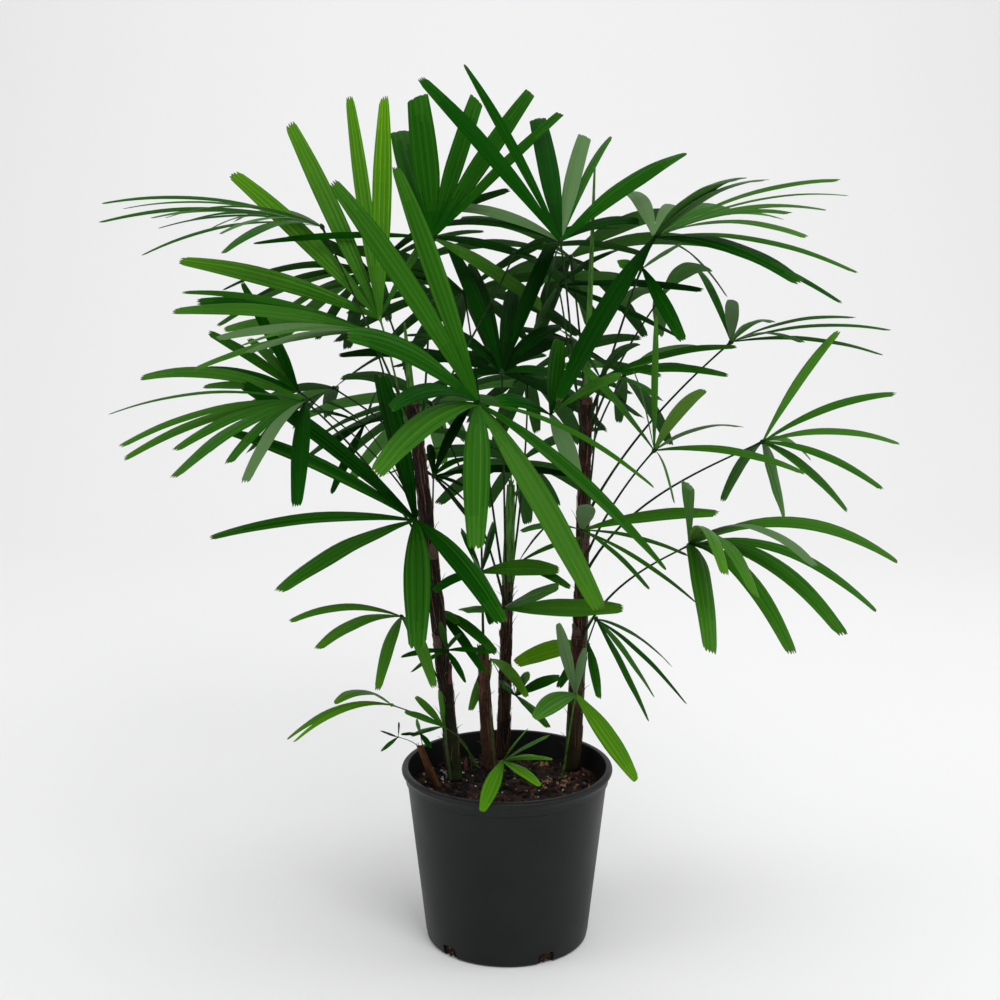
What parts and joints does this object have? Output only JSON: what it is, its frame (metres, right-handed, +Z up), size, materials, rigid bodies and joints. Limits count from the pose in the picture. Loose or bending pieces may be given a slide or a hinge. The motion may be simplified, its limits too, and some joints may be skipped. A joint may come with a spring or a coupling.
{
  "type": "potted lady palm",
  "caption": "Clumping fan palm in a round nursery pot: slender fibre-clothed canes carry fan-shaped fronds of blunt, pleated leaflets on thin stalks.",
  "frame": {"origin": "centre of the pot's flat underside", "axes": "+Z up along the canes, -Y towards the front of the plant, +X to its right seen from the front"},
  "size_m": [1.0152, 0.8952, 1.1524],
  "materials": {
    "pot": "blow-moulded charcoal plastic, matte with a soft side sheen",
    "soil": "dark brown bark and peat potting mix with white perlite",
    "cane": "dark brown fibre sheaths, rough, with reddish stubs of old stalks",
    "shoot": "reddish brown sheath of a young shoot",
    "spear": "leaf still rolled up, satin green",
    "frond": "pleated leaf, satin dark green, paler beneath",
    "young_frond": "young pleated leaf, satin yellow-green"
  },
  "bodies": {
    "root": {"pot": "pot", "soil": "soil", "cane_left": "cane", "cane_right": "cane", "cane_middle": "cane", "cane_rear": "cane", "shoot": "shoot", "spear_left": "spear", "spear_right": "spear", "spear_rear": "spear", "frond_01": "frond", "frond_02": "frond", "frond_03": "frond", "frond_04": "frond", "frond_05": "frond", "frond_06": "frond", "frond_07": "young_frond", "frond_08": "young_frond", "frond_09": "frond", "frond_10": "frond", "frond_11": "frond", "frond_12": "young_frond", "frond_13": "frond", "frond_14": "frond", "frond_15": "frond", "frond_16": "young_frond", "frond_17": "young_frond", "frond_18": "frond", "frond_19": "frond", "frond_20": "frond", "frond_21": "frond", "frond_22": "frond", "frond_23": "frond", "frond_24": "frond", "frond_25": "frond", "frond_26": "frond", "frond_27": "frond", "frond_28": "frond", "frond_29": "frond", "frond_30": "frond", "frond_31": "frond", "frond_32": "frond", "frond_33": "frond", "frond_34": "frond", "frond_35": "frond", "frond_36": "frond", "frond_37": "frond", "frond_38": "frond", "frond_39": "frond", "frond_40": "frond", "frond_41": "frond", "frond_42": "frond", "frond_43": "frond", "frond_44": "frond", "frond_45": "frond", "frond_46": "frond", "frond_47": "frond", "frond_48": "frond"}
  },
  "joints": []
}
